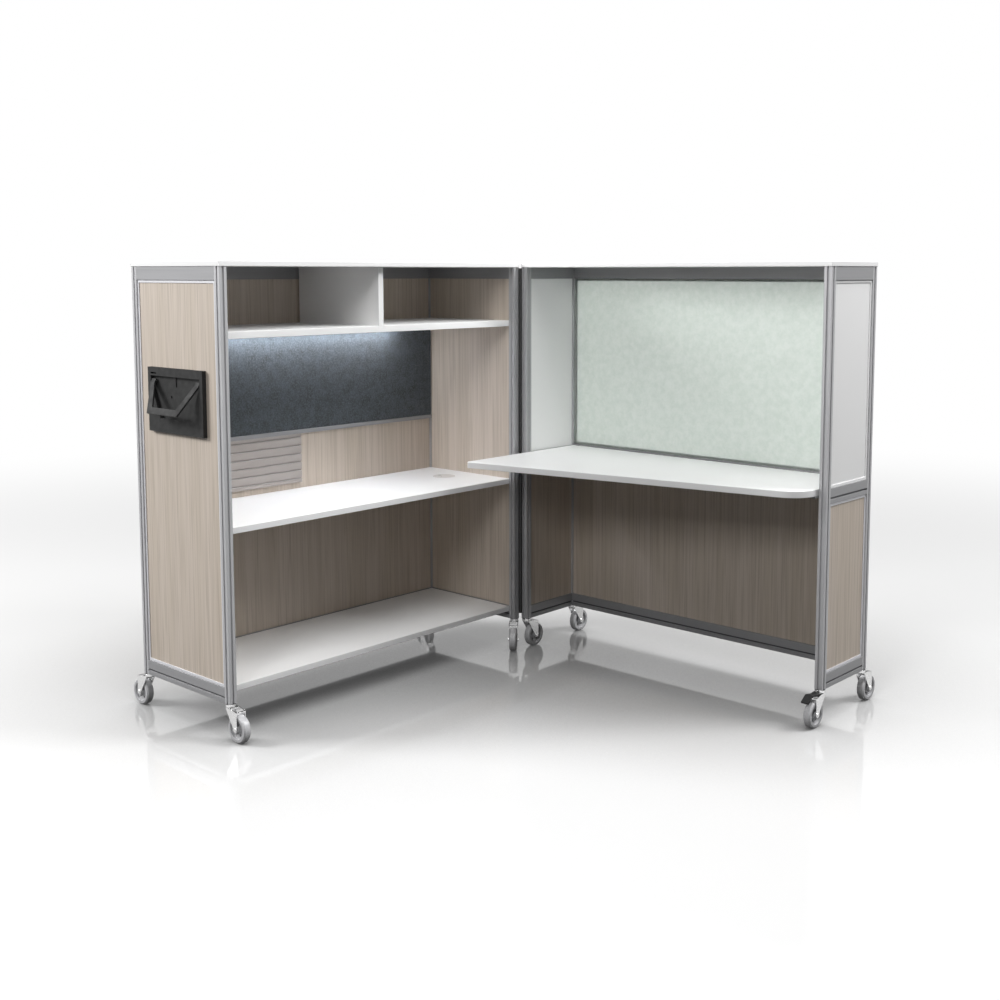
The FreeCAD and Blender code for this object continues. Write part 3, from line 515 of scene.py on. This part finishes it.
def beads():
    """Pale round the oak panels, white round the white ones and the frame's own grey round the glass."""
    stand_in("left_panel_beads", LEFT, "bead_aluminium", BEAD, radius=1.0)
    mesh = softened("right_panel_beads", radius=1.0)
    upper_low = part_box("right_outer_upper_panel")[0].z
    glass_low, glass_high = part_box("frosted_glass")
    room = 4 * MM

    def is_upper(face):
        return face.calc_center_median().z > upper_low

    def is_round_glass(face):
        return is_upper(face) and glass_low.x - room < face.calc_center_median().x < glass_high.x + room

    paint(mesh, SECOND_MATERIAL, is_upper)
    paint(mesh, THIRD_MATERIAL, is_round_glass)
    make_piece("right_panel_beads", mesh, RIGHT, "bead_aluminium", BEAD, EDGE, ALUMINIUM["x"])


def panels():
    """Oak panels, the right cabinet's white upper ones and its window."""
    for node in ("left_outer_panel", "left_hinge_panel", "left_back_panel"):
        stand_in(node, LEFT, "oak_laminate", OAK, radius=0.5)
    for node in ("right_outer_lower_panel", "right_hinge_lower_panel", "right_back_panel"):
        stand_in(node, RIGHT, "oak_laminate", OAK, radius=0.5)
    for node in ("right_outer_upper_panel", "right_hinge_upper_panel"):
        stand_in(node, RIGHT, "white_board", WHITE, radius=0.5)
    stand_in("frosted_glass", RIGHT, "frosted_glass", GLASS, radius=0.8)


def banded_board(node, body, radius):
    """A laminated board with a band round its upright edges."""
    mesh = softened(node, radius, segments=3)
    paint(mesh, SECOND_MATERIAL, lambda face: abs(face.normal.z) < LOOKS_UP)
    make_piece(node, mesh, body, "white_board", WHITE, EDGE)


def boards():
    """The lids, worktops and shelves."""
    for node in ("left_lid", "left_worktop", "bottom_shelf", "overhead_shelf", "shelf_divider"):
        banded_board(node, LEFT, radius=1.5)
    for node in ("right_lid", "right_worktop"):
        banded_board(node, RIGHT, radius=2.0)


def fittings():
    """The tackboard, slats whose up-facing lips are painted pale as painted highlight, task light, worktop
    brackets and cable grommet.
    """
    stand_in("tackboard", LEFT, "tackboard_cloth", FELT, radius=2.5, segments=4)
    slats = softened("slat_panel", radius=1.0)
    # Painted highlight: the slats' up-facing faces take the pale bead colour
    paint(slats, SECOND_MATERIAL, lambda face: face.normal.z > LOOKS_UP)
    make_piece("slat_panel", slats, LEFT, "slat_metal", SLAT, BEAD)
    stand_in("light_housing", LEFT, "light_housing_metal", ENAMEL, radius=1.0)
    stand_in("light_lens", LEFT, "light_diffuser", OPAL, radius=3.0, segments=4)
    stand_in("right_worktop_brackets", RIGHT, "bracket_steel", BRACKET, radius=1.0)
    stand_in("grommet_ring", LEFT, "grommet_plastic", GREY_PLASTIC, radius=0.8, segments=3)
    stand_in("grommet_cap", "grommet_cap", "grommet_plastic", GREY_PLASTIC, radius=0.8, segments=3)


def pull_handle():
    """A plastic plate and bail on two steel pins."""
    stand_in("handle_plate", LEFT, "black_plastic", BLACK_PLASTIC, radius=1.2, segments=3)
    stand_in("handle_bail", "handle_bail", "black_plastic", BLACK_PLASTIC, radius=1.6, segments=3)
    stand_in("bail_pins", LEFT, "pin_steel", PIN_STEEL, radius=0.6)


def hinge():
    """Two black leaves and the pin that they turn on."""
    stand_in("left_hinge_leaf", LEFT, "black_steel", BLACK_STEEL, radius=0.4)
    stand_in("right_hinge_leaf", RIGHT, "black_steel", BLACK_STEEL, radius=0.4)
    stand_in("hinge_pin", LEFT, "black_steel", BLACK_STEEL, radius=0.6)


# Casters

CASTERS = (
    "left_front_outer",
    "left_rear_outer",
    "left_front_hinge",
    "left_rear_hinge",
    "right_front_outer",
    "right_rear_outer",
    "right_front_hinge",
    "right_rear_hinge",
)
BRAKED = "right_front_outer"


def joint_place(name):
    """A point on the joint's axis, in metres."""
    return Vector(next(joint["pos_m"] for joint in frame["joints"] if joint["name"] == name))


def fork(name):
    """Pressed zinc legs, with their up-facing faces above the wheel painted black."""
    node = f"fork_{name}"
    mesh = softened(node, radius=0.6)
    wheel_top = 2 * joint_place(f"spin_{name}").z

    def is_black_crown_top(face):
        return face.normal.z > LOOKS_UP and face.calc_center_median().z > wheel_top

    # The up-facing faces above the wheel's top are painted black
    paint(mesh, SECOND_MATERIAL, is_black_crown_top)
    make_piece(node, mesh, node, "caster_steel", ZINC, BLACK_PLASTIC)


def wheel(name):
    """A tread cast round a moulded core."""
    node = f"wheel_{name}"
    mesh = softened(node, radius=0.8)
    centre = joint_place(f"spin_{name}")
    core_radius = 36 * MM
    paint(mesh, SECOND_MATERIAL, lambda face: (face.calc_center_median() - centre).length < core_radius)
    make_piece(node, mesh, node, "wheel_polyurethane", TREAD, CORE_PLASTIC)


def casters():
    """Eight forks and wheels, and the one brake pedal."""
    for name in CASTERS:
        fork(name)
        wheel(name)
    pedal = f"pedal_{BRAKED}"
    stand_in(pedal, pedal, "black_plastic", BLACK_PLASTIC, radius=1.2, segments=3)


aluminium_frame()
beads()
panels()
boards()
fittings()
pull_handle()
hinge()
casters()


# Studio: a pale glossy floor, a white room and large soft lamps

def looked_at(tree):
    """One where the camera, a mirror or glass looks, and zero where light only bounces on to the object."""
    path = add(tree, "ShaderNodeLightPath")
    mirrored = add(
        tree,
        "ShaderNodeMath",
        {"operation": "MAXIMUM"},
        {0: path.outputs["Is Glossy Ray"], 1: path.outputs["Is Transmission Ray"]},
    )
    seen = add(
        tree,
        "ShaderNodeMath",
        {"operation": "MAXIMUM"},
        {0: path.outputs["Is Camera Ray"], 1: mirrored.outputs[0]},
    )
    return seen.outputs[0]


def polished_floor():
    """Polished white where it is looked at, with painted shade near the object. It throws back less light, as
    in a deep room.
    """
    weak_glow = {"Emission Color": linear("FFFFFF"), "Emission Strength": 0.06}
    material, tree, shader, place = begin("polished_white_floor", "F2F2F2", 0.06, weak_glow)
    # Painted shade: the floor's colour darkens under and near the object by its occlusion, wider than the
    # lamps alone would draw it
    near = add(tree, "ShaderNodeAmbientOcclusion", {"samples": 8, "Distance": 1.2})
    shade = add(
        tree,
        "ShaderNodeMix",
        {"data_type": "RGBA", FIRST: linear("5A5A5A"), SECOND: linear("DCDCDC")},
        {SHARE: near.outputs["AO"]},
    )
    feed(tree, shader, {"Base Color": shade.outputs[MIXED]})
    # The floor turns into the white backdrop by eight metres from the object
    radius = add(tree, "ShaderNodeVectorMath", {"operation": "LENGTH"}, {0: place})
    far = add(
        tree,
        "ShaderNodeMapRange",
        {"interpolation_type": "SMOOTHSTEP", "From Min": 1.8, "From Max": 8.0},
        {"Value": radius.outputs["Value"]},
    )
    backdrop = add(tree, "ShaderNodeEmission", {"Color": linear("FFFFFF"), "Strength": 1.0})
    shown = add(
        tree,
        "ShaderNodeMixShader",
        links={0: far.outputs[0], 1: shader.outputs[0], 2: backdrop.outputs[0]},
    )
    bounce = add(tree, "ShaderNodeBsdfDiffuse", {"Color": linear("303030")})
    both = add(
        tree,
        "ShaderNodeMixShader",
        links={0: looked_at(tree), 1: bounce.outputs[0], 2: shown.outputs[0]},
    )
    feed(tree, tree.nodes["Material Output"], {"Surface": both.outputs[0]})
    return material


def studio_floor():
    """One flat square of floor, 30 m from its middle to each side."""
    half_width = 30
    mesh = bmesh.new()
    bmesh.ops.create_grid(mesh, x_segments=1, y_segments=1, size=half_width)
    data = bpy.data.meshes.new("studio_floor")
    mesh.to_mesh(data)
    mesh.free()
    data.materials.append(polished_floor())
    floor = bpy.data.objects.new("studio_floor", data)
    bpy.context.scene.collection.objects.link(floor)


def studio_room():
    """A white sky where it is looked at, and a softer one where it only lights the object."""
    world = bpy.data.worlds.new("studio_room")
    bpy.context.scene.world = world
    world.use_nodes = True
    tree = world.node_tree
    sky = tree.nodes["Background"]
    sky.inputs["Color"].default_value = linear("FFFFFF")
    room_light = 0.12
    strength = add(
        tree,
        "ShaderNodeMapRange",
        {"To Min": room_light, "To Max": 1.0},
        {"Value": looked_at(tree)},
    )
    feed(tree, sky, {"Strength": strength.outputs[0]})


def soft_lamp(name, place, aim, size, watts):
    """A square area lamp that looks at its aim. Places and size are in metres."""
    data = bpy.data.lights.new(name, "AREA")
    data.shape = "SQUARE"
    data.size = size
    data.energy = watts
    lamp = bpy.data.objects.new(name, data)
    bpy.context.scene.collection.objects.link(lamp)
    lamp.location = place
    lamp.rotation_euler = (Vector(aim) - Vector(place)).to_track_quat("-Z", "Y").to_euler()


def lamps():
    """One overhead, one for the outer end on the left, one behind on the right and a weak one in front."""
    soft_lamp("overhead_lamp", place=(1.2, -0.8, 5.1), aim=(0, -0.1, 0.5), size=2.4, watts=125)
    soft_lamp("left_lamp", place=(-4.5, -4.2, 3.8), aim=(-0.7, -0.9, 0.7), size=2.0, watts=340)
    soft_lamp("back_right_lamp", place=(3.6, 2.6, 5.0), aim=(0.6, 0.4, 0.9), size=2.0, watts=255)
    soft_lamp("front_lamp", place=(1.8, -5.0, 3.8), aim=(0.3, 0.3, 0.7), size=1.5, watts=80)


def photo_camera():
    """The photograph's view, solved from its edges: the place is measured from the cabinets' front planes."""
    front_planes = Vector((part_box("left_front_posts")[1].x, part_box("right_front_posts")[0].y, 0))
    stand = Vector((3.621, -4.0083, 1.629))
    pitch = math.radians(5.972)
    heading = math.radians(41.70)
    focal_pixels = 1266.51
    image_pixels = 1000
    centre_pixels = (528.72, 404.875)
    data = bpy.data.cameras.new("photo_camera")
    data.sensor_width = 36
    data.lens = data.sensor_width * focal_pixels / image_pixels
    data.shift_x = 0.5 - centre_pixels[0] / image_pixels
    data.shift_y = centre_pixels[1] / image_pixels - 0.5
    camera = bpy.data.objects.new("photo_camera", data)
    bpy.context.scene.collection.objects.link(camera)
    camera.location = front_planes + stand
    camera.rotation_euler = (math.pi / 2 - pitch, 0, heading)
    bpy.context.scene.camera = camera


studio_floor()
studio_room()
lamps()
photo_camera()
bpy.context.scene.view_settings.view_transform = "Standard"
